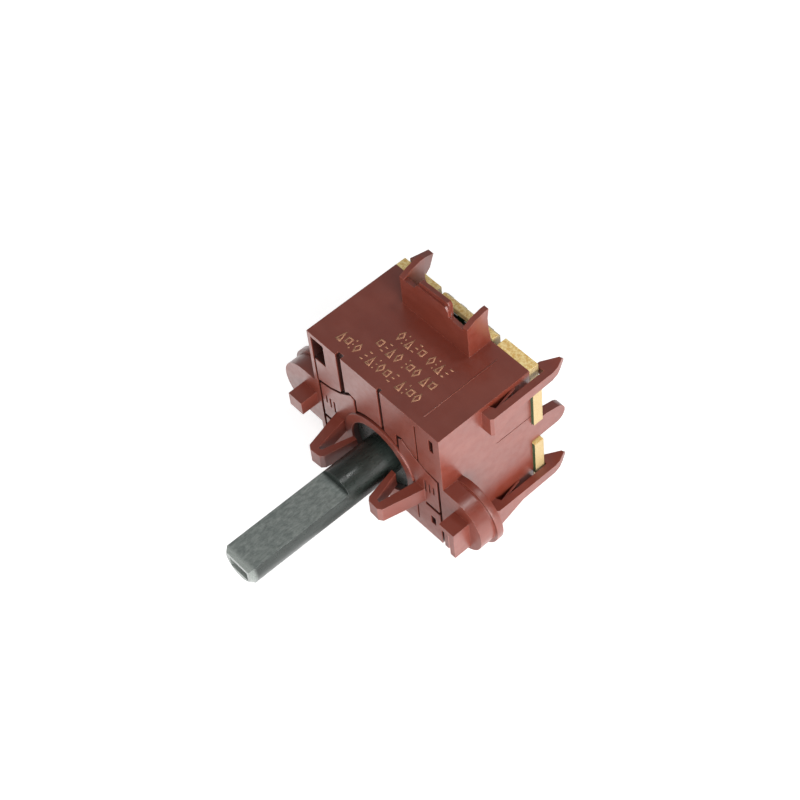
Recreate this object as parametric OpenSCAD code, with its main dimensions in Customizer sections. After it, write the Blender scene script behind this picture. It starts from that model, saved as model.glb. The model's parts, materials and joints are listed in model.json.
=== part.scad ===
// Rotary selector switch for a washing machine, in millimetres.
// The shaft axis is the Y axis and the shaft points to -Y. The housing's front face is the plane Y = 0.
// +X is the side with the outer snap arms and +Z is the marked face.

/* [Housing] */
// Width of the housing, without ears and arms
body_w = 25; // [24:0.5:27]
// Depth of the housing, from its front face to the board
body_d = 15.5; // [15:0.1:16]
// Height of the top face above the shaft axis
body_top = 15.4; // [15:0.1:17]
// Depth of the underside below the shaft axis
body_bottom = 8.6; // [8.4:0.1:9.4]
// Thickness of the side, top and bottom walls
wall = 1.4; // [1.2:0.1:1.6]
// Thickness of the front wall
front_wall = 3; // [2.8:0.1:3]

/* [Shaft] */
// Diameter of the knob end of the shaft
shaft_d = 6; // [5:0.5:6.5]
// Length of the shaft in front of the housing
shaft_len = 24.3; // [20:0.1:30]
// Length of the round part in front of the housing
shaft_round_len = 7.6; // [7:0.1:9]
// Height of the flat above the shaft axis
flat_h = 1.5; // [1.4:0.1:2]
// Radius of the journal that turns in the front plate
journal_r = 5.45; // [5:0.05:5.5]

/* [Detent] */
// Number of click positions in one turn
click_count = 12; // [4:4:12]
// Radius of the detent ball
ball_r = 1.2; // [1.1:0.05:1.2]
// Distance from the shaft axis to the ball when it rests in a notch
ball_orbit_r = 6.5; // [6.4:0.05:6.5]

/* [Board] */
// Thickness of the circuit board
board_t = 1.6; // [1:0.2:1.6]
// Thickness of the copper on the board
copper_t = 0.08; // [0.05:0.01:0.1]

/* [Ears] */
// Distance from each side wall to the centre of its round ear
ear_out = 2.2; // [2:0.1:3]
// Radius of each round ear
ear_r = 4.6; // [4:0.1:4.8]

/* [Snap hooks] */
// Reach of the front snap hooks in front of the housing
hook_reach = 6.4; // [5:0.1:7]
// Height of the front snap hooks
hook_h = 2.6; // [2:0.1:3]

/* [Hidden] */
// Clearances and small overlaps
seam = 0.12;
run_gap = 0.05;
flat_gap = 0.1;
eps = 0.02;

// Housing and front plate
half_w = body_w / 2;
plate_t = 1.6;
plate_x = half_w - 1.2;
tongue_x = 4.3;
collar_r = 6.8;
collar_rise = 0.2;
bore_r = journal_r + run_gap;
shoulder_y = 0.9;
groove_w = 0.5;
flange_r = bore_r + 0.7;
flange_hole_r = flange_r + 0.4;

// Shroud on the top face, round the board's edge connector
shroud_y = body_d - 3.8;
shroud_left = -7;
shroud_right = 5.6;
shroud_top = body_top + 5;
shroud_wall = 0.6;
fin_w = 0.8;
tongue_left = -4.5;
tongue_right = 5.6;

// Board, rear fingers and arms
board_y = body_d;
board_rear = board_y + board_t;
latch_y = board_rear + 0.1;
finger_t = 1.3;
finger_z = [0.2, 3.9];
tab_out = 0.5;
tab_z = [-6.6, 11.6];
arm_root = body_d - 8.3;
arm_tip = latch_y + 2.9;
arm_step = 20.4;
arm_out = 1.9;
arm_t = 1.05;
horn_x = 0.9 - half_w;
horn_w = 1;
horn_step = 17.6;

// Ears
ear_x = half_w + ear_out;
ear_z = 0.3;
ear_t = 2.4;
key_reach = 2.7;

// Drive train behind the front plate
washer_y = plate_t + run_gap;
washer_t = 0.2;
flange_y = washer_y + washer_t + flat_gap;
flange_end = front_wall;
hex_af = 5.6;
hex_end = body_d - 2.2;
pilot_r = 1.6;
pilot_end = board_rear + 0.8;
wheel_y = flange_end + 0.7;
wheel_t = 2.2;
wheel_r = ball_orbit_r - ball_r + 0.3;
notch_r = ball_r + flat_gap;
click_mid = wheel_y + wheel_t / 2;
dish_y = wheel_y + wheel_t + 0.05;
dish_h = 0.5;
rotor_y = dish_y + dish_h + 0.05;
rotor_disc_t = 1.4;
rotor_r = 6.7;
clip_t = 0.4;

// Contacts
common_r = 2.9;
coded_r = 5.1;
track_w = 1;
coded_w = 1.8;
leaf_t = 0.15;
leaf_w = 0.8;
leaf_rise = board_y - copper_t - flat_gap - hex_end;
stake_x = 3.3;
stake_z = (common_r + coded_r) / 2;
stake_r = 0.4;

// Detent
guide_w = 5.2;
guide_y = front_wall + 0.1;
guide_end = click_mid + ball_r + 0.8;
guide_z = wheel_r + 0.25;
guide_top = body_top - wall - 0.05;
plug_h = 1;
spring_low = ball_orbit_r + ball_r + 0.02;
spring_high = guide_top - plug_h - 0.02;
spring_r = 0.85;
wire_r = 0.16;
spring_turns = 6;

$fn = 96;

// Lays a shape drawn in X and Z flat against the plane Y = y, growing towards +Y
module from_front(y, t) {
    translate([0, y + t, 0]) rotate([90, 0, 0]) linear_extrude(t) children();
}

// Lays a shape drawn in Y and Z against the plane X = x, growing towards +X
module from_side(x, t) {
    translate([x, 0, 0]) rotate([90, 0, 90]) linear_extrude(t) children();
}

// A disc or a ring on the shaft axis
module disc(r, y, t) {
    translate([0, y + t, 0]) rotate([90, 0, 0]) cylinder(r = r, h = t);
}

// A hexagon bar on the shaft axis
module hex_bar(across, y, t) {
    translate([0, y + t, 0]) rotate([90, 0, 0]) cylinder(d = across / cos(30), h = t, $fn = 6);
}

// A plain box from its low and high corners
module box(low, high) {
    translate(low) cube(high - low);
}

// Both sides of something drawn on the +X side
module both_sides() {
    children();
    mirror([1, 0, 0]) children();
}

// Outline of the front plate, grown by gap on every side
module plate_outline(gap = 0) {
    circle(r = collar_r + gap);
    translate([-plate_x - gap, -body_bottom - gap]) square([2 * (plate_x + gap), body_bottom + gap]);
    both_sides() polygon([[tongue_x - gap, -1], [plate_x + gap, -1], [plate_x + gap, 5.4 + gap],
        [plate_x - 2.1, 5.9 + gap], [plate_x - 4.3, 6.9 + gap], [tongue_x + 0.6 + gap / 2, 8.5 + gap],
        [tongue_x - gap, 8.1 + gap]]);
}

// Round ear with its straight root, drawn in X and Z
module ear_outline(r, root) {
    intersection() {
        union() {
            translate([ear_x, ear_z]) circle(r = r);
            translate([root, ear_z - ear_r]) square([ear_x - root, 2 * ear_r]);
        }
        translate([root, -2 * r]) square(4 * r);
    }
}

// Ear with the stepped collar behind it
module ear() {
    from_front(0, ear_t) ear_outline(ear_r, half_w - wall / 2);
    from_front(ear_t - eps, 1) ear_outline(ear_r + 0.5, half_w - wall);
}

// Key on the right ear: a roof and one cheek, open to the front and below
module right_key() {
    low = ear_x - 0.3;
    high = ear_x + 2.4;
    box([low, -key_reach, 1.3], [high, eps, 2.2]);
    box([high - 0.9, -key_reach, -2.8], [high, eps, 2.2]);
    box([low, -0.6, -2.8], [high, eps, 2.2]);
}

// Key on the left ear: a short block
module left_key() {
    box([-ear_x - 0.6, -key_reach, -0.5], [2 - ear_x, eps, 1.9]);
}

// Plan of an outer snap arm: root, bar and hooked head, drawn in X and Y
module arm_plan() {
    outer = half_w + arm_out;
    inner = outer - arm_t;
    polygon([[half_w - 0.3, arm_root], [outer - 0.3, arm_root], [outer, arm_root + 0.4],
        [outer, latch_y + 1.4], [outer - 0.5, arm_tip], [half_w - 0.6, latch_y + 0.6],
        [half_w - 0.6, latch_y], [inner, latch_y], [inner, arm_root + 1.7], [half_w - 0.3, arm_root + 1.2]]);
}

// Outer snap arm with its top at height 0
module outer_arm() {
    intersection() {
        translate([0, 0, -4]) linear_extrude(5) arm_plan();
        from_side(half_w - 1, arm_out + 2)
            polygon([[arm_root - 0.2, -3.4], [arm_root + 0.6, -3.4], [arm_root + 4.6, -1.7],
                [latch_y + 0.5, -1.5], [arm_tip - 0.8, -0.7], [arm_tip + 0.2, 0.3], [arm_tip - 0.4, 0.8],
                [latch_y + 0.6, 0], [arm_root - 0.2, 0]]);
    }
}

// Inner horn that passes through a slot in the board and holds it
module inner_horn() {
    from_side(horn_x, horn_w)
        polygon([[body_d - 6.2, 11.2], [latch_y, 11.2], [latch_y + 0.9, 11.3], [latch_y + 2.4, 12.9],
            [latch_y + 3.2, 15], [latch_y, 15.9], [latch_y, 14.1], [body_d - 6.2, 14.1]]);
}

// Rounded finger in the plane of a side wall
module finger() {
    from_side(half_w - finger_t, finger_t) union() {
        polygon([[body_d - 3, finger_z[0]], [latch_y + 2.7, finger_z[0]], [latch_y + 3.3, finger_z[1] - 0.6],
            [latch_y + 1.1, finger_z[1]], [body_d - 3, finger_z[1]]]);
        translate([latch_y + 2.7, finger_z[0] + 1.6]) circle(r = 1.6);
    }
}

// Side fin of the shroud, drawn in Y and Z, with its swept rear tip
module fin_outline() {
    polygon([[shroud_y, body_top - 0.5], [body_d - 0.05, body_top - 0.5], [body_d - 0.05, body_top + 0.8],
        [body_d - 0.3, body_top + 2.6], [body_d - 0.35, body_top + 4.8], [body_d - 0.1, body_top + 6.5],
        [body_d - 0.8, body_top + 6.5], [shroud_y + 1.3, shroud_top + 1.1], [shroud_y, shroud_top + 0.4]]);
}

// Shroud that guides a connector onto the board's top edge
module shroud() {
    from_front(shroud_y, shroud_wall) polygon([[shroud_left, body_top - 0.5], [shroud_right, body_top - 0.5],
        [shroud_right, shroud_top - 0.3], [2.2, shroud_top], [2.1, shroud_top + 0.8], [1.6, shroud_top + 1.5],
        [-3.6, shroud_top + 1.4], [-4.3, shroud_top + 0.4], [shroud_left, shroud_top + 0.2]]);
    from_front(shroud_y + shroud_wall / 2, shroud_wall)
        polygon([[-3.6, body_top - 0.5], [2.1, body_top - 0.5], [2.1, shroud_top + 1.9],
            [1.8, shroud_top + 2.3], [-3.3, shroud_top + 2], [-3.6, shroud_top + 1.6]]);
    from_side(shroud_left, fin_w) fin_outline();
    from_side(shroud_right - fin_w, fin_w) fin_outline();
}

// Hollow body of the housing, with the recess for the front plate, the slots in its front
// and the opening in its top where the connector reaches the board
module shell() {
    difference() {
        box([-half_w, 0, -body_bottom], [half_w, body_d, body_top]);
        box([-half_w + wall, front_wall, -body_bottom + wall], [half_w - wall, body_d + 1, body_top - wall]);
        from_front(-1, 1 + plate_t) plate_outline(seam);
        from_front(-1, 1 + groove_w) plate_outline(groove_w);
        disc(flange_hole_r, plate_t - eps, front_wall);
        box([0.6 - half_w, -1, 10.4], [3.1 - half_w, front_wall + 1, body_top - 0.7]);
        box([0.6 - half_w, -1, 5.5], [1 - half_w, 0.5, 10.5]);
        box([half_w - 2, -1, 11.7], [half_w - 1.2, front_wall + 1, 14.1]);
        box([-6.9, -1, 6.5], [-5.9, 0.7, body_top + 1]);
        box([1, -1, 6.5], [1.6, 0.5, body_top + 1]);
        box([7.8, -1, 6.8], [8.1, 0.4, 14.4]);
        box([half_w - 0.2, body_d - 6.1, 5.8], [half_w + 1, body_d + 1, 5.95]);
        box([shroud_left + fin_w, shroud_y + shroud_wall, body_top - wall - 1],
            [shroud_right - fin_w, body_d + 1, body_top + 1]);
    }
}

module housing() {
    color("#8a3a2e") union() {
        shell();
        both_sides() ear();
        right_key();
        left_key();
        for (drop = [0, arm_step]) translate([0, 0, body_top - 0.7 - drop]) outer_arm();
        for (drop = [0, horn_step]) translate([0, 0, -drop]) inner_horn();
        both_sides() finger();
        shroud();
    }
}

// Front snap hook: outer leg, nose and the free inner leg beside the shaft, drawn in X and Y
module hook_plan() {
    polygon([[8.7, 0.1], [8.4, -1.2], [7.2, 0.4 - hook_reach], [6.6, -hook_reach], [4.9, 0.1 - hook_reach],
        [4.45, 0.6 - hook_reach], [3.4, -0.9], [3.65, -0.65], [4.15, -0.8], [5.5, 1 - hook_reach],
        [6.05, 0.9 - hook_reach], [7, 0.1]]);
}

// Marks and pockets in the lower half of the front plate
module plate_pockets() {
    box([plate_x - 2.7, -1, -2.1], [plate_x + 1, 0.7, -1.4]);
    box([plate_x - 1.9, -1, -5.6], [plate_x - 1, 0.8, -3.9]);
    box([6.7, -1, -7.2], [7, 0.5, -4]);
    for (i = [0 : 2]) translate([plate_x - 2.6 + 0.8 * i, 0, 0]) box([0, -1, 1 + 0.4 * i], [0.35, 0.25, 3.4]);
}

module front_plate() {
    color("#93493c") difference() {
        union() {
            from_front(0, plate_t) plate_outline();
            disc(collar_r, -collar_rise, plate_t);
            both_sides() translate([0, 0, -hook_h / 2]) linear_extrude(hook_h) hook_plan();
        }
        disc(bore_r, -1, plate_t + 2);
        both_sides() plate_pockets();
    }
}

module thrust_washer() {
    color("#b9bcc0") difference() {
        disc(flange_r, washer_y, washer_t);
        disc(bore_r + 0.05, washer_y - 1, washer_t + 2);
    }
}

module detent_guide() {
    color("#d8d2c4") difference() {
        box([-guide_w / 2, guide_y, guide_z], [guide_w / 2, guide_end, guide_top]);
        translate([0, click_mid, guide_z - 1]) cylinder(r = ball_r + run_gap, h = guide_top - guide_z + 2);
    }
}

module spring_plug() {
    color("#d8d2c4") translate([0, click_mid, guide_top - plug_h]) cylinder(r = ball_r, h = plug_h - eps);
}

// Round wire wound into a coil that stands on Z, swept as rings of points along the helix
module coil(radius, wire, low, high, turns) {
    steps = turns * 14;
    sides = 8;
    rise = high - low - 2 * wire;
    points = [for (i = [0 : steps], k = [0 : sides - 1])
        let (a = 360 * turns * i / steps, b = 360 * k / sides, r = radius + wire * cos(b))
            [r * cos(a), r * sin(a), low + wire + rise * i / steps + wire * sin(b)]];
    skin = [for (i = [0 : steps - 1], k = [0 : sides - 1])
        let (n = (k + 1) % sides) [i * sides + k, (i + 1) * sides + k, (i + 1) * sides + n, i * sides + n]];
    ends = [[for (k = [0 : sides - 1]) k], [for (k = [sides - 1 : -1 : 0]) steps * sides + k]];
    polyhedron(points = points, faces = concat(skin, ends));
}

module detent_spring() {
    color("#b9bcc0") translate([0, click_mid, 0])
        coil(spring_r, wire_r, spring_low, spring_high, spring_turns);
}

module detent_ball() {
    color("#c6c9cc") translate([0, click_mid, ball_orbit_r]) sphere(r = ball_r);
}

// Knob end of the shaft: round, then flat on top, with a chamfered tip and a moulded core pocket
module knob_end() {
    tip = 0.6;
    r = shaft_d / 2;
    difference() {
        union() {
            disc(r, -shaft_len + tip, shaft_len - tip + shoulder_y + 0.2);
            translate([0, -shaft_len + tip, 0]) rotate([90, 0, 0]) cylinder(r1 = r, r2 = r - tip, h = tip);
        }
        box([-r - 1, -shaft_len - 1, flat_h], [r + 1, -shaft_round_len, r + 1]);
        from_side(-r, 2 * r) polygon([[-shaft_len - 1, flat_h - tip - 1],
            [-shaft_len + tip + 1, flat_h + 1], [-shaft_len - 1, flat_h + 1]]);
        box([-1.7, -shaft_len - 1, -1.5], [1.7, -shaft_len + 9, 0.2]);
    }
}

module shaft() {
    color("#3f4a49") union() {
        knob_end();
        disc(journal_r, shoulder_y, flange_y - shoulder_y + eps);
        disc(flange_r, flange_y, flange_end - flange_y);
        hex_bar(hex_af, flange_end - eps, hex_end - flange_end + eps);
        disc(pilot_r, hex_end - eps, pilot_end - hex_end);
    }
}

module detent_wheel() {
    color("#ddd8cc") difference() {
        disc(wheel_r, wheel_y, wheel_t);
        hex_bar(hex_af + 2 * run_gap, wheel_y - 1, wheel_t + 2);
        for (i = [0 : click_count - 1]) rotate([0, 360 * i / click_count, 0])
            translate([0, 0, ball_orbit_r]) disc(notch_r, wheel_y - 1, wheel_t + 2);
    }
}

// Dished washer that keeps the wheel and the rotor from rattling
module spring_washer() {
    color("#b9bcc0") difference() {
        translate([0, dish_y, 0]) rotate([-90, 0, 0]) cylinder(r1 = 5.1, r2 = 3.9, h = dish_h);
        translate([0, dish_y - 0.2, 0]) rotate([-90, 0, 0]) cylinder(r1 = 5.1, r2 = 3.9, h = dish_h);
        disc(3.5, dish_y - 1, dish_h + 2);
    }
}

module rotor() {
    color("#26282a") difference() {
        union() {
            disc(4.4, rotor_y, hex_end - rotor_y);
            disc(rotor_r, hex_end - rotor_disc_t, rotor_disc_t);
            for (s = [-1, 1]) translate([s * stake_x, 0, s * stake_z]) disc(stake_r, hex_end - eps, 0.55);
        }
        hex_bar(hex_af + 2 * run_gap, rotor_y - 1, hex_end - rotor_y + 2);
    }
}

module retaining_ring() {
    color("#9da0a3") difference() {
        disc(pilot_r + 0.7, hex_end + 0.02, clip_t);
        disc(pilot_r + 0.01, hex_end - 1, clip_t + 2);
    }
}

// One bent contact leaf at radius r, drawn in X and Y, with its tip just short of the copper
module leaf(r) {
    y = hex_end + 0.02;
    translate([0, 0, r - leaf_w / 2]) linear_extrude(leaf_w)
        polygon([[4.1, y], [4.1, y + leaf_t], [2, y + leaf_t], [0.35, y + leaf_rise - 0.1],
            [0, y + leaf_rise], [-0.5, y + leaf_rise - 0.3], [-0.4, y + leaf_rise - 0.42],
            [0, y + leaf_rise - 0.17], [0.3, y + leaf_rise - 0.25], [1.95, y]]);
}

// Stamped contact: two leaves on one foot that a stake holds to the rotor
module wiper() {
    difference() {
        union() {
            leaf(common_r);
            leaf(coded_r);
            box([2.2, hex_end + 0.02, common_r - leaf_w / 2],
                [4.1, hex_end + 0.02 + leaf_t, coded_r + leaf_w / 2]);
        }
        translate([stake_x, 0, stake_z]) disc(stake_r + 0.05, hex_end - 1, 2);
    }
}

module upper_wiper() {
    color("#c9a15a") wiper();
}

module lower_wiper() {
    color("#c9a15a") rotate([0, 180, 0]) wiper();
}

module circuit_board() {
    gap = 0.35;
    chamfer = 0.5;
    color("#d9c169") difference() {
        union() {
            box([-half_w, board_y, -body_bottom + 0.2], [half_w, board_rear, body_top]);
            box([-half_w - tab_out, board_y, tab_z[0]], [half_w + tab_out, board_rear, tab_z[1]]);
        }
        for (y = [board_y, board_rear]) translate([tongue_left, y, body_top]) rotate([45, 0, 0])
            translate([0, -chamfer / 2, -chamfer / 2]) cube([tongue_right - tongue_left, chamfer, chamfer]);
        disc(pilot_r + run_gap, board_y - 1, board_t + 2);
        box([tongue_left - 0.9, board_y - 1, 12.6], [tongue_left, board_rear + 1, body_top + 1]);
        box([tongue_right, board_y - 1, 12.6], [tongue_right + 1, board_rear + 1, body_top + 1]);
        both_sides() box([half_w - finger_t - gap, board_y - 1, finger_z[0] - gap],
            [half_w + 1, board_rear + 1, finger_z[1] + gap]);
        for (drop = [0, horn_step]) translate([0, 0, -drop])
            box([horn_x - 0.15, board_y - 1, 11.05], [horn_x + horn_w + 0.15, board_rear + 1, 14.25]);
    }
}

// Copper ring or ring sector on the front of the board, from start to start + sweep degrees
module track(r, w, start, sweep) {
    translate([0, board_y, 0]) rotate([90, 0, 0]) rotate([0, 0, start])
        rotate_extrude(angle = sweep) translate([r - w / 2, 0]) square([w, copper_t]);
}

module common_track() {
    color("#b87b4a") track(common_r, track_w, 0, 360);
}

module coded_tracks() {
    pad_angle = 360 / click_count - 6;
    color("#b87b4a") for (i = [0 : click_count - 1])
        track(coded_r, coded_w, 90 + 360 * i / click_count - pad_angle / 2, pad_angle);
}

// Contact pads on each face of the board's tongue, at the connector's pitch
module edge_contacts() {
    pitch = 2.5;
    half_pad = 0.6;
    color("#c8c4b6") for (i = [0 : 3]) translate([(i - 1.5) * pitch, 0, 0]) {
        box([-half_pad, board_y - copper_t, 12.9], [half_pad, board_y, body_top - 0.4]);
        box([-half_pad, board_rear, 10.2], [half_pad, board_rear + copper_t, body_top - 0.4]);
    }
}

// Row of chip resistors on the rear of the board
module resistors() {
    color("#222426") for (i = [0 : 7]) translate([-8.4 + 2 * i, 0, 7.6])
        box([-0.5, board_rear, -0.8], [0.5, board_rear + 0.45, 0.8]);
}

// Chip capacitor between the shaft and the lower horn
module capacitor() {
    left = horn_x + horn_w + 1.7;
    color("#a58a62") box([left, board_rear, -5.2], [left + 1.6, board_rear + 0.8, -4.2]);
}

housing();
front_plate();
thrust_washer();
detent_guide();
spring_plug();
detent_spring();
detent_ball();
shaft();
detent_wheel();
spring_washer();
rotor();
retaining_ring();
upper_wiper();
lower_wiper();
circuit_board();
common_track();
coded_tracks();
edge_contacts();
resistors();
capacitor();
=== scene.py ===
"""Looks of the rotary selector switch: materials, moulded and printed detail, light and camera."""
import json
import math

import bmesh
import bpy
from mathutils import Matrix, Vector

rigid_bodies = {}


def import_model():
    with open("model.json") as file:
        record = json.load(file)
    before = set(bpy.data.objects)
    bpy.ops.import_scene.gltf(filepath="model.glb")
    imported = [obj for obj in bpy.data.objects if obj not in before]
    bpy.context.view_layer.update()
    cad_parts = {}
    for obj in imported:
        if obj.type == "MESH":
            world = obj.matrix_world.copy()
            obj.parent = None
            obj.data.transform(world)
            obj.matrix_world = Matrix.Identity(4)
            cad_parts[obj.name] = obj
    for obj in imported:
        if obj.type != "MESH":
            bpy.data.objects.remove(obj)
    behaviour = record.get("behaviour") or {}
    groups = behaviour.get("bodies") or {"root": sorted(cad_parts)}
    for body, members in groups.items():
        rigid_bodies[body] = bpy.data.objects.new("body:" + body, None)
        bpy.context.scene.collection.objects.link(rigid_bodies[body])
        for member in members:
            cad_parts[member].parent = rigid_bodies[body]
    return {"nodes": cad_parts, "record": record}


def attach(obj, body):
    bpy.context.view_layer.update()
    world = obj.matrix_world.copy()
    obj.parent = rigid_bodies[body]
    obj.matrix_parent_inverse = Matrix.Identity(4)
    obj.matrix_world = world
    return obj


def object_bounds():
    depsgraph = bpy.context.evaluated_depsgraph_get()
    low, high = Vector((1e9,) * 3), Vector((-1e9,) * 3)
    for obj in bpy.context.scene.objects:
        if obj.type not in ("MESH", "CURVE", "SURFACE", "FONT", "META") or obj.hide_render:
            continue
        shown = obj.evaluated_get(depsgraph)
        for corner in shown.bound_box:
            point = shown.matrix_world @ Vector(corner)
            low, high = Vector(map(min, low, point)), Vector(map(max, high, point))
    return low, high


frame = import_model()
cad_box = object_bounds()
MM = 0.001
# Millimetres: the marked top face, the underside, half the housing's width, the seat of the board on
# the housing and the board's rear face
TOP, UNDER, HALF_W, BOARD, REAR = 15.4, -8.6, 12.5, 15.5, 17.1


# ---------------------------------------------------------------- node helpers
def put(tree, value, socket):
    """Links a socket, or writes a plain value."""
    if isinstance(value, bpy.types.NodeSocket):
        tree.links.new(value, socket)
    else:
        socket.default_value = value


def combine(tree, kind, a, b=0.0):
    """Output of a math node on two sockets or numbers."""
    n = tree.nodes.new("ShaderNodeMath")
    n.operation = kind
    put(tree, a, n.inputs[0])
    put(tree, b, n.inputs[1])
    return n.outputs[0]


def smooth(tree, value, low, high, to_low=0.0, to_high=1.0):
    """A soft step of a value from to_low at low to to_high at high."""
    n = tree.nodes.new("ShaderNodeMapRange")
    n.interpolation_type = "SMOOTHSTEP"
    names = ("From Min", "From Max", "To Min", "To Max")
    for name, number in zip(names, (low, high, to_low, to_high)):
        n.inputs[name].default_value = number
    tree.links.new(value, n.inputs["Value"])
    return n.outputs["Result"]


class Shader:
    """A material with a Principled surface, its coordinates in millimetres of the row frame."""

    def __init__(self, name, metallic=0.0, specular=0.5, coat=0.0, coat_roughness=0.2):
        self.mat = bpy.data.materials.new(name)
        self.mat.use_nodes = True
        self.tree = self.mat.node_tree
        self.bsdf = self.tree.nodes["Principled BSDF"]
        self.bsdf.inputs["Metallic"].default_value = metallic
        self.bsdf.inputs["Specular IOR Level"].default_value = specular
        self.bsdf.inputs["Coat Weight"].default_value = coat
        self.bsdf.inputs["Coat Roughness"].default_value = coat_roughness
        coords = self.node("ShaderNodeTexCoord")
        self.normal_out = coords.outputs["Normal"]
        self.face_normal = self.node("ShaderNodeNewGeometry").outputs["True Normal"]
        mm = self.node("ShaderNodeMapping")
        mm.inputs["Scale"].default_value = (1000, 1000, 1000)
        self.link(coords.outputs["Object"], mm.inputs["Vector"])
        self.mm = mm.outputs["Vector"]

    def node(self, kind):
        return self.tree.nodes.new(kind)

    def link(self, a, b):
        self.tree.links.new(a, b)

    def stretch(self, x, y, z):
        m = self.node("ShaderNodeMapping")
        m.inputs["Scale"].default_value = (x, y, z)
        self.link(self.mm, m.inputs["Vector"])
        return m.outputs["Vector"]

    def noise(self, scale, detail=3.0, rough=0.55, vector=None):
        n = self.node("ShaderNodeTexNoise")
        n.inputs["Scale"].default_value = scale
        n.inputs["Detail"].default_value = detail
        n.inputs["Roughness"].default_value = rough
        self.link(vector or self.mm, n.inputs["Vector"])
        return n.outputs["Fac"]

    def ramp(self, value, low, high, to_low=0.0, to_high=1.0):
        return smooth(self.tree, value, low, high, to_low, to_high)

    def math(self, kind, a, b=0.0):
        return combine(self.tree, kind, a, b)

    def mix(self, factor, a, b):
        """Colour a where the factor is 0 and b where it is 1."""
        n = self.node("ShaderNodeMix")
        n.data_type = "RGBA"
        put(self.tree, factor, n.inputs["Factor"])
        for value, socket in ((a, n.inputs[6]), (b, n.inputs[7])):
            put(self.tree, value if isinstance(value, bpy.types.NodeSocket) else (*value, 1.0), socket)
        return n.outputs[2]

    def axis(self, which, source=None):
        n = self.node("ShaderNodeSeparateXYZ")
        self.link(source or self.mm, n.inputs[0])
        return n.outputs["XYZ".index(which)]

    def inside_shade_mask(self):
        """1 in the openings, grooves and pockets of the body, 0 on its outer faces; it places the painted
        shade.
        """
        across = self.ramp(self.math("ABSOLUTE", self.axis("X")), HALF_W - 0.08, HALF_W - 0.2)
        behind_front = self.ramp(self.axis("Y"), 0.03, 0.24)
        before_board = self.ramp(self.axis("Y"), BOARD - 0.05, BOARD - 0.3)
        below_top = self.ramp(self.axis("Z"), TOP - 0.05, TOP - 0.2)
        above_base = self.ramp(self.axis("Z"), UNDER + 0.05, UNDER + 0.2)
        deep = self.math("MULTIPLY", behind_front, before_board)
        level = self.math("MULTIPLY", below_top, above_base)
        return self.math("MULTIPLY", self.math("MULTIPLY", across, deep), level)

    def edge(self, radius_mm):
        """About 1 on an edge and 0 on the flats, from how far a bevelled normal turns."""
        bevel = self.node("ShaderNodeBevel")
        bevel.samples = 4
        bevel.inputs["Radius"].default_value = radius_mm * MM
        geometry = self.node("ShaderNodeNewGeometry")
        dot = self.node("ShaderNodeVectorMath")
        dot.operation = "DOT_PRODUCT"
        self.link(bevel.outputs[0], dot.inputs[0])
        self.link(geometry.outputs["Normal"], dot.inputs[1])
        return self.ramp(dot.outputs["Value"], 0.995, 0.86)

    def rounded(self, radius_mm):
        """A normal that runs softly over each edge."""
        bevel = self.node("ShaderNodeBevel")
        bevel.samples = 6
        bevel.inputs["Radius"].default_value = radius_mm * MM
        return bevel.outputs[0]

    def bump(self, height, depth_mm, strength=1.0, after=None):
        n = self.node("ShaderNodeBump")
        n.inputs["Distance"].default_value = depth_mm * MM
        n.inputs["Strength"].default_value = strength
        self.link(height, n.inputs["Height"])
        if after is not None:
            self.link(after, n.inputs["Normal"])
        return n.outputs["Normal"]

    def finish(self, color, roughness, normal):
        self.link(color, self.bsdf.inputs["Base Color"])
        self.link(roughness, self.bsdf.inputs["Roughness"])
        self.link(normal, self.bsdf.inputs["Normal"])
        return self.mat


def srgb(r, g, b):
    """A colour written as the screen shows it, 0 to 255."""
    def linear(c):
        return c / 12.92 if c <= 0.04045 else ((c + 0.055) / 1.055) ** 2.4
    return tuple(linear(c / 255) for c in (r, g, b))


# ---------------------------------------------------------------- materials
def moulded(name, base, shade, pale, rounding=0.0, paint_inside_shade=False):
    """Glass-filled moulding: faint flow clouds, a fine grain, slightly paler edges and, if asked, painted
    shade that darkens the body's openings, grooves and pockets."""
    s = Shader(name, specular=1.0)
    cloud = s.ramp(s.noise(0.14, 3.0, 0.5), 0.35, 0.68)
    flow = s.ramp(s.noise(0.4, 4.0, 0.55, s.stretch(0.35, 1.0, 1.6)), 0.4, 0.7)
    fine = s.noise(9.0, 4.0, 0.65)
    speck = s.ramp(s.noise(15.3, 2.0, 0.5), 0.68, 0.8)
    color = s.mix(s.math("MULTIPLY", cloud, 0.5), base, shade)
    color = s.mix(s.math("MULTIPLY", flow, 0.1), color, pale)
    color = s.mix(s.math("MULTIPLY", s.ramp(fine, 0.3, 0.7), 0.12), color, shade)
    color = s.mix(s.math("MULTIPLY", speck, 0.14), color, pale)
    worn = s.math("MULTIPLY", s.edge(0.16), s.ramp(s.noise(1.3, 3.0), 0.35, 0.65, 0.15, 0.5))
    color = s.mix(worn, color, pale)
    if paint_inside_shade:
        # Painted shade: openings, grooves and pockets darkened by position toward a near-black maroon
        color = s.mix(s.math("MULTIPLY", s.inside_shade_mask(), 0.85), color, srgb(26, 12, 10))
    roughness = s.ramp(s.noise(0.9, 4.0, 0.6), 0.3, 0.7, 0.3, 0.42)
    normal = s.bump(s.noise(1.1, 3.0), 0.02, 0.2, s.rounded(rounding) if rounding else None)
    return s.finish(color, roughness, s.bump(fine, 0.006, 0.5, normal))


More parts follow.
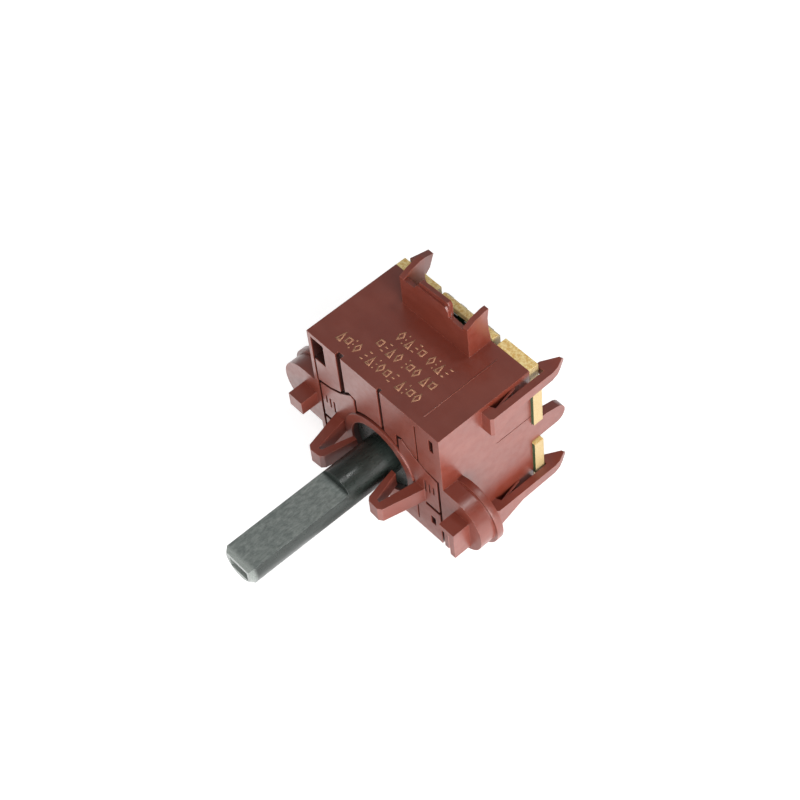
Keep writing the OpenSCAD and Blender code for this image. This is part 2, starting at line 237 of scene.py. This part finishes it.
def shaft_moulding():
    """Near-black satin shaft, fine streaks along it; flat rubbed grey, tip speckled pale as wear and
    painted highlight.
    """
    s = Shader("shaft_plastic", specular=0.55)
    streak = s.noise(2.4, 5.0, 0.7, s.stretch(2.2, 0.28, 2.2))
    blotch = s.noise(1.7, 6.0, 0.72, s.stretch(1.3, 0.7, 1.3))
    fine = s.noise(7.5, 4.0, 0.7)
    dark, mid, grey, pale = srgb(24, 30, 27), srgb(42, 49, 45), srgb(94, 102, 99), srgb(154, 160, 155)
    color = s.mix(s.ramp(streak, 0.32, 0.68), dark, mid)
    rubbed = s.mix(s.ramp(blotch, 0.34, 0.68, 0.1, 0.62), grey, pale)
    rubbed = s.mix(s.ramp(fine, 0.54, 0.68, 0.0, 0.5), rubbed, pale)
    rubbed = s.mix(s.ramp(streak, 0.52, 0.34, 0.0, 0.45), rubbed, srgb(72, 80, 79))
    knob_end = s.ramp(s.axis("Y"), -7.4, -8.2)
    flat = s.math("MULTIPLY", knob_end, s.ramp(s.axis("Z", s.normal_out), 0.6, 0.92))
    color = s.mix(s.math("MULTIPLY", flat, 0.9), color, rubbed)
    # Painted highlight with rubbed wear: the last 0.8 mm of the tip is made pale in speckles
    tip = s.math("MULTIPLY", s.ramp(s.axis("Y"), -23.2, -24.0), s.ramp(fine, 0.3, 0.6, 0.3, 0.75))
    color = s.mix(tip, color, pale)
    satin = s.ramp(s.noise(1.4, 4.0), 0.3, 0.7, 0.26, 0.34)
    roughness = s.math("ADD", satin, s.math("MULTIPLY", flat, 0.16))
    normal = s.bump(streak, 0.004, 0.1)
    return s.finish(color, roughness, s.bump(fine, 0.006, 0.4, normal))


def metal(name, bright, dull, rough=(0.2, 0.36), grain=(6.0, 0.5, 6.0)):
    """Drawn or rolled metal with grain, faint tarnish and brighter edges."""
    s = Shader(name, metallic=1.0)
    line = s.noise(3.0, 4.0, 0.6, s.stretch(*grain))
    tarnish = s.ramp(s.noise(0.8, 4.0, 0.6), 0.42, 0.7)
    color = s.mix(s.math("MULTIPLY", tarnish, 0.55), bright, dull)
    color = s.mix(s.math("MULTIPLY", s.edge(0.12), 0.6), color, bright)
    return s.finish(color, s.ramp(line, 0.3, 0.7, *rough), s.bump(line, 0.004, 0.4))


def laminate():
    """Epoxy-glass board: woven yellow edges with painted light on the upward-facing ones, green lacquer on
    its faces.
    """
    s = Shader("board_laminate", specular=0.5, coat=0.15, coat_roughness=0.15)
    layer = s.node("ShaderNodeTexWave")
    layer.bands_direction = "Y"
    layer.inputs["Scale"].default_value = 1.9
    layer.inputs["Distortion"].default_value = 1.2
    layer.inputs["Detail"].default_value = 3.0
    s.link(s.mm, layer.inputs["Vector"])
    fray = s.noise(4.0, 5.0, 0.7)
    edge_color = s.mix(s.ramp(layer.outputs["Fac"], 0.2, 0.8), srgb(170, 146, 98), srgb(190, 169, 124))
    edge_color = s.mix(s.math("MULTIPLY", s.ramp(fray, 0.5, 0.7), 0.6), edge_color, srgb(166, 122, 66))
    weave = s.node("ShaderNodeTexChecker")
    weave.inputs["Scale"].default_value = 2.2
    s.link(s.mm, weave.inputs["Vector"])
    face_color = s.mix(s.ramp(s.noise(0.5, 4.0), 0.35, 0.65), srgb(24, 70, 44), srgb(34, 88, 54))
    face_color = s.mix(s.math("MULTIPLY", weave.outputs["Fac"], 0.08), face_color, srgb(60, 116, 70))
    # Painted light: upward-facing edges paler and more golden, standing in for light glowing through the
    # laminate; the mottle in it is the laminate's own
    painted_light_top = s.ramp(s.axis("Z", s.face_normal), 0.6, 0.9)
    painted_light_edge = s.mix(s.ramp(s.noise(2.2, 5.0, 0.7), 0.36, 0.62), srgb(222, 176, 92), srgb(252, 230, 164))
    edge_color = s.mix(s.math("MULTIPLY", painted_light_top, 0.85), edge_color, painted_light_edge)
    faces = s.ramp(s.math("ABSOLUTE", s.axis("Y", s.face_normal)), 0.75, 0.9)
    color = s.mix(faces, edge_color, face_color)
    roughness = s.math("ADD", s.ramp(fray, 0.3, 0.7, 0.02, 0.12), s.ramp(faces, 0, 1, 0.55, 0.24))
    normal = s.bump(fray, 0.03, 0.35)
    return s.finish(color, roughness, normal)


def glazed(name, base, pale):
    """Fired or coated body of a small component, glossy over a fine grain."""
    s = Shader(name, specular=0.5, coat=0.25, coat_roughness=0.12)
    grain = s.noise(8.0, 4.0, 0.6)
    color = s.mix(s.ramp(grain, 0.3, 0.7), base, pale)
    color = s.mix(s.math("MULTIPLY", s.edge(0.08), 0.5), color, pale)
    return s.finish(color, s.ramp(grain, 0.3, 0.7, 0.16, 0.3), s.bump(grain, 0.01, 0.4))


def etched():
    """Laser mark: the moulding foamed to a dry tan, a little uneven."""
    s = Shader("etched_marks", specular=0.3)
    grain = s.noise(11.0, 4.0, 0.7)
    color = s.mix(s.ramp(grain, 0.3, 0.72), srgb(152, 104, 80), srgb(184, 138, 108))
    return s.finish(color, s.ramp(grain, 0.3, 0.7, 0.8, 0.95), s.bump(grain, 0.01, 0.5))


FLAT_GRAIN = (1.5, 1.5, 1.5)
MATERIALS = {
    "maroon_plastic": moulded("maroon_plastic", srgb(117, 48, 32), srgb(103, 40, 27), srgb(161, 95, 80),
                              paint_inside_shade=True),
    "front_plate_plastic": moulded("front_plate_plastic", srgb(120, 51, 36), srgb(107, 44, 31),
                                   srgb(165, 99, 84), rounding=0.1, paint_inside_shade=True),
    "shaft_plastic": shaft_moulding(),
    "natural_plastic": moulded("natural_plastic", srgb(222, 215, 198), srgb(208, 199, 180),
                               srgb(236, 231, 220)),
    "rotor_plastic": moulded("rotor_plastic", srgb(40, 42, 44), srgb(28, 30, 31), srgb(82, 84, 86)),
    "spring_steel": metal("spring_steel", srgb(206, 208, 210), srgb(150, 150, 148)),
    "ball_steel": metal("ball_steel", srgb(222, 224, 228), srgb(184, 186, 190), (0.05, 0.14),
                        (2.0, 2.0, 2.0)),
    "contact_brass": metal("contact_brass", srgb(214, 178, 108), srgb(168, 126, 70)),
    "board_laminate": laminate(),
    "copper": metal("copper", srgb(206, 140, 100), srgb(158, 96, 66), (0.28, 0.42), FLAT_GRAIN),
    "tinned_copper": metal("tinned_copper", srgb(216, 214, 206), srgb(168, 166, 156), (0.24, 0.4),
                           FLAT_GRAIN),
    "resistor_body": glazed("resistor_body", srgb(24, 25, 27), srgb(52, 54, 57)),
    "capacitor_body": glazed("capacitor_body", srgb(150, 118, 84), srgb(182, 150, 112)),
}
SLOT_OF = {p["node"]: p["material_slot"] for p in frame["record"]["subparts"]}


def edge_bevel(obj, width_mm, segments, angle):
    """Bevel modifier on the edges that turn by more than an angle in degrees."""
    bevel = obj.modifiers.new("edges", "BEVEL")
    bevel.width = width_mm * MM
    bevel.segments = segments
    bevel.limit_method = "ANGLE"
    bevel.angle_limit = math.radians(angle)
    return bevel


def soften(obj, width_mm):
    """Rounds the moulded edges of a CAD node with modifiers, its own mesh unchanged."""
    weld = obj.modifiers.new("join", "WELD")
    weld.merge_threshold = 2e-6
    flat = obj.modifiers.new("faces", "DECIMATE")
    flat.decimate_type = "DISSOLVE"
    flat.angle_limit = math.radians(1.5)
    edge_bevel(obj, width_mm, 3, 32).use_clamp_overlap = True
    flatten = obj.modifiers.new("flat_faces", "WEIGHTED_NORMAL")
    flatten.mode = "FACE_AREA"
    flatten.weight = 90


# Rounding of the CAD nodes' edges in millimetres
EDGES = {"housing": 0.1, "shaft": 0.22, "circuit_board": 0.06, "detent_guide": 0.15,
         "detent_wheel": 0.1, "rotor": 0.12, "resistors": 0.06, "capacitor": 0.08}
for name, node in frame["nodes"].items():
    node.data.materials.clear()
    node.data.materials.append(MATERIALS[SLOT_OF[name]])
    for face in node.data.polygons:
        face.use_smooth = True
    if name in EDGES:
        soften(node, EDGES[name])


# ---------------------------------------------------------------- piece helpers
def piece(name, bm, material, body, bevel_mm=0.0, segments=2):
    """Makes one named object from a bmesh drawn in millimetres, riding on a body."""
    bmesh.ops.recalc_face_normals(bm, faces=bm.faces[:])
    bmesh.ops.scale(bm, vec=(MM, MM, MM), verts=bm.verts[:])
    mesh = bpy.data.meshes.new(name)
    bm.to_mesh(mesh)
    bm.free()
    obj = bpy.data.objects.new(name, mesh)
    bpy.context.scene.collection.objects.link(obj)
    mesh.materials.append(material)
    for face in mesh.polygons:
        face.use_smooth = True
    if bevel_mm:
        edge_bevel(obj, bevel_mm, segments, 30).harden_normals = True
    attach(obj, body)
    return obj


def loop_at(bm, outline, height, up):
    """Vertices of an outline in X and Y at a height on Z, or in X and Z at a height on Y."""
    return [bm.verts.new((u, v, height) if up == "Z" else (u, height, v)) for u, v in outline]


def slab(bm, outline, low, high, up="Z"):
    """A prism of a flat outline between two heights."""
    bottom, top = loop_at(bm, outline, low, up), loop_at(bm, outline, high, up)
    bm.faces.new(bottom[::-1])
    bm.faces.new(top)
    count = len(outline)
    for i in range(count):
        j = (i + 1) % count
        bm.faces.new([bottom[i], bottom[j], top[j], top[i]])


def round_bar(a, b, width, ends=5):
    """Outline of a stroke with rounded ends from a to b."""
    dx, dy = b[0] - a[0], b[1] - a[1]
    turn = math.atan2(dy, dx)
    points = []
    for centre, start in ((b, -90), (a, 90)):
        for k in range(ends + 1):
            angle = turn + math.radians(start + 180 * k / ends)
            points.append((centre[0] + width / 2 * math.cos(angle),
                           centre[1] + width / 2 * math.sin(angle)))
    return points


def box(x, z, half_x, half_z):
    """Outline of a rectangle about a middle."""
    left, right, low, high = x - half_x, x + half_x, z - half_z, z + half_z
    return [(left, low), (right, low), (right, high), (left, high)]


def hollow(bm, corners, inner_share, low, high, up="Z"):
    """A flat closed band between an outline and the same outline shrunk about its middle."""
    count = len(corners)
    cx, cy = sum(p[0] for p in corners) / count, sum(p[1] for p in corners) / count
    loops = []
    for share in (1.0, inner_share):
        points = [(cx + (u - cx) * share, cy + (v - cy) * share) for u, v in corners]
        loops += [loop_at(bm, points, height, up) for height in (low, high)]
    out_low, out_high, in_low, in_high = loops
    for i in range(count):
        j = (i + 1) % count
        for a, b in ((out_low, out_high), (out_high, in_high), (in_high, in_low), (in_low, out_low)):
            bm.faces.new([a[i], a[j], b[j], b[i]])


def ring(cx, cy, radius, count=20):
    """Outline of a circle."""
    turns = [2 * math.pi * k / count for k in range(count)]
    return [(cx + radius * math.cos(turn), cy + radius * math.sin(turn)) for turn in turns]


# The body that every piece of this script rides on
BASE = frame["record"]["behaviour"]["joints"][0]["parent"]


# ---------------------------------------------------------------- etched marks on the top face
# Widths of the shapes and of a gap between groups, the space after each, and their height, in millimetres
MARK_WIDTH = {"diamond": 1.0, "triangle": 1.0, "square": 0.9, "steps": 0.8, "dots": 0.3, "gap": 0.3}
MARK_GAP = 0.22
MARK_TALL = 1.9


def etched_mark(bm, shape, x, mid):
    """One plain shape that starts at x on a row's middle line."""
    low, high = TOP - 0.004, TOP + 0.005
    right, below, above = x + MARK_WIDTH[shape], mid - MARK_TALL / 2, mid + MARK_TALL / 2
    centre = (x + right) / 2
    if shape == "diamond":
        hollow(bm, [(centre, below), (right, mid), (centre, above), (x, mid)], 0.5, low, high)
    elif shape == "triangle":
        hollow(bm, [(x, below), (right, below), (centre, above)], 0.42, low, high)
    elif shape == "square":
        hollow(bm, box(centre, mid, (right - x) / 2, 0.55), 0.54, low, high)
    elif shape == "steps":
        for k in range(3):
            v = below + 0.2 + k * (MARK_TALL - 0.4) / 2
            slab(bm, round_bar((x + 0.15 * k + 0.1, v), (x + 0.15 * k + 0.45, v), 0.21), low, high)
    elif shape == "dots":
        for v in (below + 0.2, mid, above - 0.2):
            slab(bm, ring(centre, v, 0.14, 10), low, high)


def etched_rows():
    """Three rows of plain shapes on the top face."""
    bm = bmesh.new()
    rows = ((-9.0, 2.75, "triangle square dots diamond gap steps triangle dots diamond square steps gap "
             "triangle dots square diamond"),
            (-4.6, 5.4, "square steps triangle diamond gap dots square diamond gap triangle square"),
            (-3.6, 8.0, "diamond dots triangle steps square gap diamond dots triangle steps"))
    for left, mid, shapes in rows:
        x = left
        for shape in shapes.split():
            etched_mark(bm, shape, x, mid)
            x += MARK_WIDTH[shape] + MARK_GAP
    piece("top_marks", bm, etched(), BASE)


# ---------------------------------------------------------------- moulded detail
def moulding_details():
    """Webs beside the arms, a witness line on the top, ejector rings and a gate mark on the underside."""
    maroon, slot = MATERIALS["maroon_plastic"], "maroon_plastic"
    bm = bmesh.new()
    inner, outer, web, rib = HALF_W - 0.05, HALF_W + 0.95, 0.9, 2.7
    for z in (11.9, -8.5):
        slab(bm, [(inner, 8.6), (outer, 8.6), (outer, BOARD - 0.1), (inner, BOARD - 0.1)], z, z + web)
        slab(bm, round_bar((outer - 0.03, 8.9), (inner + 0.15, 12.7), 0.32), z + web - 0.05, z + rib)
    piece("arm_webs", bm, maroon, BASE, 0.08)
    bm = bmesh.new()
    slab(bm, round_bar((8.35, 1.4), (8.35, 13.9), 0.16), TOP - 0.01, TOP + 0.008)
    piece("witness_line", bm, maroon, BASE)
    bm = bmesh.new()
    for x, y in ((-8.6, 4.0), (8.6, 4.0), (-8.6, 12.2), (8.6, 12.2), (0.0, 8.2)):
        hollow(bm, ring(x, y, 1.25, 32), 0.88, UNDER - 0.02, UNDER + 0.01)
    piece("ejector_rings", bm, maroon, BASE)
    bm = bmesh.new()
    slab(bm, ring(-6.2, 11.2, 0.7, 24), UNDER - 0.08, UNDER + 0.02)
    piece("gate_mark", bm, maroon, BASE, 0.05)


# ---------------------------------------------------------------- rear of the board
def stroke(bm, points, width, low, high):
    """A flat run of rounded strokes, drawn in X and Z, each a hair thicker where it overlaps the last."""
    for k, (a, b) in enumerate(zip(points, points[1:])):
        slab(bm, round_bar(a, b, width, 4), low - 0.002 * k, high + 0.002 * k, up="Y")


def lacquered_copper():
    """Copper seen through green lacquer, a little paler than the board between it."""
    s = Shader("lacquered_copper", specular=0.5, coat=0.3, coat_roughness=0.12)
    cloud = s.ramp(s.noise(0.7, 4.0), 0.35, 0.65)
    color = s.mix(cloud, srgb(46, 112, 66), srgb(58, 128, 76))
    roughness = s.ramp(s.noise(3.0, 4.0), 0.3, 0.7, 0.24, 0.36)
    return s.finish(color, roughness, s.bump(s.noise(5.0), 0.006, 0.3))


def silk_ink():
    """Matt off-white ink of the component outlines."""
    s = Shader("silk_ink", specular=0.3)
    grain = s.noise(9.0, 4.0, 0.6)
    color = s.mix(s.ramp(grain, 0.3, 0.7), srgb(206, 208, 200), srgb(226, 228, 220))
    return s.finish(color, s.ramp(grain, 0.3, 0.7, 0.5, 0.65), s.bump(grain, 0.008, 0.4))


# Places of the board's solids in X and Z, as the part's source has them
RESISTOR_X = [-8.4 + 2 * i for i in range(8)]
RESISTOR_Z = 7.6
CAPACITOR = (-8.1, -4.7)
PAD_X = [-3.75, -1.25, 1.25, 3.75]
RING_HOLES = [(6.3 * math.cos(turn), 6.3 * math.sin(turn))
              for turn in (math.radians(158 - 19.4 * i) for i in range(8))]
OTHER_HOLES = [(-2.2, -5.9), (2.2, -5.9), (9.2, 5.0), (-6.6, 13.8), (11.6, 11.9)]


def fillet(bm, foot, way, half, reach, height):
    """Solder run up from the board to the end of a component."""
    side = (-way[1], way[0])
    for k in range(4):
        inner, outer = reach * k / 4 - 0.02, reach * (k + 1) / 4
        rise = height * (1 - (k + 0.4) / 4) ** 1.6 + 0.03
        spread = half * (1 - 0.08 * k)
        corners = [(foot[0] + way[0] * d + side[0] * w, foot[1] + way[1] * d + side[1] * w)
                   for d, w in ((inner, -spread), (outer, -spread), (outer, spread), (inner, spread))]
        slab(bm, corners, REAR - 0.005, REAR + rise, up="Y")


def rear_tracks():
    """Lacquered runs that join the tongue's pads, the resistors, the capacitor and the holes."""
    bm = bmesh.new()
    low, high = REAR - 0.005, REAR + 0.03
    for i, pad in enumerate(PAD_X):
        target = RESISTOR_X[2 * i + 1] if i < 3 else RESISTOR_X[6]
        stroke(bm, [(pad, 10.3), (pad, 9.7), (target, 9.2), (target, 8.5)], 0.4, low, high)
    stroke(bm, [(RESISTOR_X[0], 8.6), (RESISTOR_X[0], 10.0), (-6.6, 11.8), (-6.6, 13.8)], 0.35, low, high)
    stroke(bm, [(RESISTOR_X[7], 8.6), (RESISTOR_X[7], 9.9), (8.0, 11.9), (11.6, 11.9)], 0.35, low, high)
    for x, hole in zip(RESISTOR_X, RING_HOLES):
        knee = (x, max(hole[1] + 0.6, 5.2) if abs(x - hole[0]) > 0.4 else 6.0)
        stroke(bm, [(x, 6.6), knee, hole], 0.3, low, high)
    runs = (([(-9.4, -4.7), (-10.2, -4.7), (-10.2, 1.0), (-9.2, 3.4), (-9.2, 5.4), (-8.4, 6.4)], 0.35),
            ([(-6.9, -4.7), (-4.6, -4.7), (-2.2, -5.9)], 0.35),
            ([(2.2, -5.9), (4.4, -4.8), (9.2, -4.8), (9.2, 5.0)], 0.9))
    for points, width in runs:
        stroke(bm, points, width, low, high)
    piece("rear_tracks", bm, lacquered_copper(), BASE)


def plated_holes():
    """Plated holes, four test pads and the rim round the shaft's pilot."""
    bm = bmesh.new()
    for x, z in RING_HOLES + OTHER_HOLES:
        hollow(bm, ring(x, z, 0.42, 18), 0.5, REAR - 0.005, REAR + 0.05, up="Y")
    for x in (-5.4, -1.8, 1.8, 5.4):
        slab(bm, ring(x, -7.1, 0.6), REAR - 0.005, REAR + 0.05, up="Y")
    hollow(bm, ring(0, 0, 2.6, 48), 0.82, REAR - 0.005, REAR + 0.04, up="Y")
    piece("plated_holes", bm, MATERIALS["tinned_copper"], BASE, 0.015)


def component_ends():
    """Tinned end caps of the resistors and the capacitor, and the solder that holds them."""
    tinned = MATERIALS["tinned_copper"]
    caps, solder = bmesh.new(), bmesh.new()
    for x in RESISTOR_X:
        for end in (-1, 1):
            slab(caps, box(x, RESISTOR_Z + end * 0.68, 0.53, 0.16), REAR + 0.01, REAR + 0.48, up="Y")
            fillet(solder, (x, RESISTOR_Z + end * 0.82), (0, end), 0.46, 0.36, 0.3)
    x, z = CAPACITOR
    for end in (-1, 1):
        slab(caps, box(x + end * 0.66, z, 0.18, 0.54), REAR + 0.01, REAR + 0.83, up="Y")
        fillet(solder, (x + end * 0.82, z), (end, 0), 0.5, 0.42, 0.55)
    piece("component_caps", caps, tinned, BASE, 0.03)
    piece("solder", solder, tinned, BASE, 0.05, 3)


def component_outlines():
    """Printed lines beside the resistors and the capacitor, a circle and two dots."""
    bm = bmesh.new()
    low, high = REAR + 0.002, REAR + 0.02
    for a, b in (((-9.3, 5.9), (6.5, 5.9)), ((-9.3, 9.05), (-9.3, 5.9)), ((6.5, 9.05), (6.5, 5.9)),
                 ((-9.6, -6.0), (-6.6, -6.0)), ((-9.6, -3.4), (-6.6, -3.4))):
        stroke(bm, [a, b], 0.16, low, high)
    hollow(bm, ring(0, 0, 8.4, 72), 0.982, low, high, up="Y")
    for x in (-11.2, 11.2):
        slab(bm, ring(x, 9.6, 0.5), low, high, up="Y")
    piece("component_outlines", bm, silk_ink(), BASE)


etched_rows()
moulding_details()
rear_tracks()
plated_holes()
component_ends()
component_outlines()


# ---------------------------------------------------------------- floor, light and camera
# What the camera sees of the floor's own glow near the object, on top of its lit paper, and what
# diffuse rays get of it; glossy rays see it in full
FLOOR_LIFT = 0.66
FLOOR_BOUNCE = 0.8


def floor():
    """White ground that keeps the object's shadow, with a painted shadow in its glow before the lower
    right front.
    """
    bm = bmesh.new()
    bmesh.ops.create_grid(bm, x_segments=1, y_segments=1, size=1.5)
    mesh = bpy.data.meshes.new("floor")
    bm.to_mesh(mesh)
    bm.free()
    obj = bpy.data.objects.new("floor", mesh)
    obj.location = (0, 0, cad_box[0][2] - 0.00002)
    bpy.context.scene.collection.objects.link(obj)
    mat = bpy.data.materials.new("floor")
    mat.use_nodes = True
    tree = mat.node_tree
    tree.nodes.clear()
    path = tree.nodes.new("ShaderNodeLightPath")
    place = tree.nodes.new("ShaderNodeTexCoord")
    split = tree.nodes.new("ShaderNodeSeparateXYZ")
    away = tree.nodes.new("ShaderNodeVectorMath")
    away.operation = "LENGTH"
    tree.links.new(place.outputs["Object"], split.inputs[0])
    tree.links.new(place.outputs["Object"], away.inputs[0])
    x, y = split.outputs[0], split.outputs[1]

    # Painted shadow: the glow that diffuse and glossy rays get is cut to a twentieth in a patch before the
    # lower right front
    slanted = combine(tree, "SUBTRACT", x, combine(tree, "MULTIPLY", y, 0.8))
    painted_shadow = smooth(tree, x, -0.0145, -0.0115)
    for value, start, end in ((slanted, 0.022, 0.016), (y, -0.013, -0.009), (y, 0.001, -0.002)):
        painted_shadow = combine(tree, "MULTIPLY", painted_shadow, smooth(tree, value, start, end))
    outside_painted_shadow = combine(tree, "SUBTRACT", 1.0, combine(tree, "MULTIPLY", painted_shadow, 0.95))

    lift = smooth(tree, away.outputs["Value"], 0.07, 0.17, FLOOR_LIFT, 1.0)
    seen = combine(tree, "MULTIPLY", path.outputs["Is Camera Ray"], lift)
    unseen = combine(tree, "SUBTRACT", 1.0, path.outputs["Is Camera Ray"])
    glossy = combine(tree, "MULTIPLY", path.outputs["Is Glossy Ray"], 1 - FLOOR_BOUNCE)
    bounced = combine(tree, "ADD", FLOOR_BOUNCE, glossy)
    bounced = combine(tree, "MULTIPLY", combine(tree, "MULTIPLY", unseen, outside_painted_shadow), bounced)

    paper = tree.nodes.new("ShaderNodeBsdfDiffuse")
    paper.inputs["Color"].default_value = (0.74, 0.74, 0.74, 1)
    glow = tree.nodes.new("ShaderNodeEmission")
    tree.links.new(combine(tree, "ADD", seen, bounced), glow.inputs["Strength"])
    add = tree.nodes.new("ShaderNodeAddShader")
    tree.links.new(paper.outputs[0], add.inputs[0])
    tree.links.new(glow.outputs[0], add.inputs[1])
    out = tree.nodes.new("ShaderNodeOutputMaterial")
    tree.links.new(add.outputs[0], out.inputs["Surface"])
    mesh.materials.append(mat)


def world():
    """Plain studio surround: pale low down, dimmer overhead and to the rear right, white to the camera."""
    surround = bpy.data.worlds.new("studio")
    bpy.context.scene.world = surround
    surround.use_nodes = True
    tree = surround.node_tree
    tree.nodes.clear()
    coords = tree.nodes.new("ShaderNodeTexCoord")
    split = tree.nodes.new("ShaderNodeSeparateXYZ")
    tree.links.new(coords.outputs["Generated"], split.inputs[0])
    toward = tree.nodes.new("ShaderNodeVectorMath")
    toward.operation = "DOT_PRODUCT"
    toward.inputs[1].default_value = (0.68, 0.53, 0.5)
    tree.links.new(coords.outputs["Generated"], toward.inputs[0])
    fade = smooth(tree, split.outputs[2], 0.0, 0.6, 0.68, 0.37)
    dim = smooth(tree, toward.outputs["Value"], 0.35, 0.9, 1.0, 0.2)
    path = tree.nodes.new("ShaderNodeLightPath")
    level = combine(tree, "MAXIMUM", path.outputs["Is Camera Ray"], combine(tree, "MULTIPLY", fade, dim))
    back = tree.nodes.new("ShaderNodeBackground")
    tree.links.new(level, back.inputs["Strength"])
    out = tree.nodes.new("ShaderNodeOutputWorld")
    tree.links.new(back.outputs[0], out.inputs["Surface"])


def lamp(name, place_mm, aim_mm, width_mm, height_mm, watts):
    """A soft rectangular lamp turned to a point on the object."""
    data = bpy.data.lights.new(name, "AREA")
    data.shape = "RECTANGLE"
    data.size = width_mm * MM
    data.size_y = height_mm * MM
    data.energy = watts
    obj = bpy.data.objects.new(name, data)
    obj.location = Vector(place_mm) * MM
    obj.rotation_euler = (Vector(aim_mm) - Vector(place_mm)).to_track_quat("-Z", "Y").to_euler()
    bpy.context.scene.collection.objects.link(obj)


def camera():
    """The view the photograph was taken from, as fitted to the housing's corners and the shaft."""
    azimuth, elevation, roll = math.radians(53.74), math.radians(53.13), math.radians(-7.13)
    back = Vector((math.sin(azimuth) * math.cos(elevation), -math.cos(azimuth) * math.cos(elevation),
                   math.sin(elevation)))
    level = Vector((math.cos(azimuth), math.sin(azimuth), 0))
    rise = back.cross(level)
    right = level * math.cos(roll) + rise * math.sin(roll)
    up = back.cross(right)
    data = bpy.data.cameras.new("camera")
    data.sensor_width = 36
    data.lens = 94.5
    data.clip_start, data.clip_end = 0.01, 10
    obj = bpy.data.objects.new("camera", data)
    place = (right * 2.532 + up * 7.313 + back * 275.26) * MM
    obj.matrix_world = Matrix((
        (right.x, up.x, back.x, place.x),
        (right.y, up.y, back.y, place.y),
        (right.z, up.z, back.z, place.z),
        (0, 0, 0, 1)))
    bpy.context.scene.collection.objects.link(obj)
    bpy.context.scene.camera = obj


floor()
world()
lamp("right_low", (290, -95, 90), (8, 5, 3), 300, 180, 1.35)
lamp("high_front", (180, -130, 285), (0, 0, 5), 240, 240, 0.36)
lamp("overhead", (58, 142, 370), (0, -5, 0), 60, 60, 0.2)
camera()
bpy.context.scene.view_settings.view_transform = "Standard"
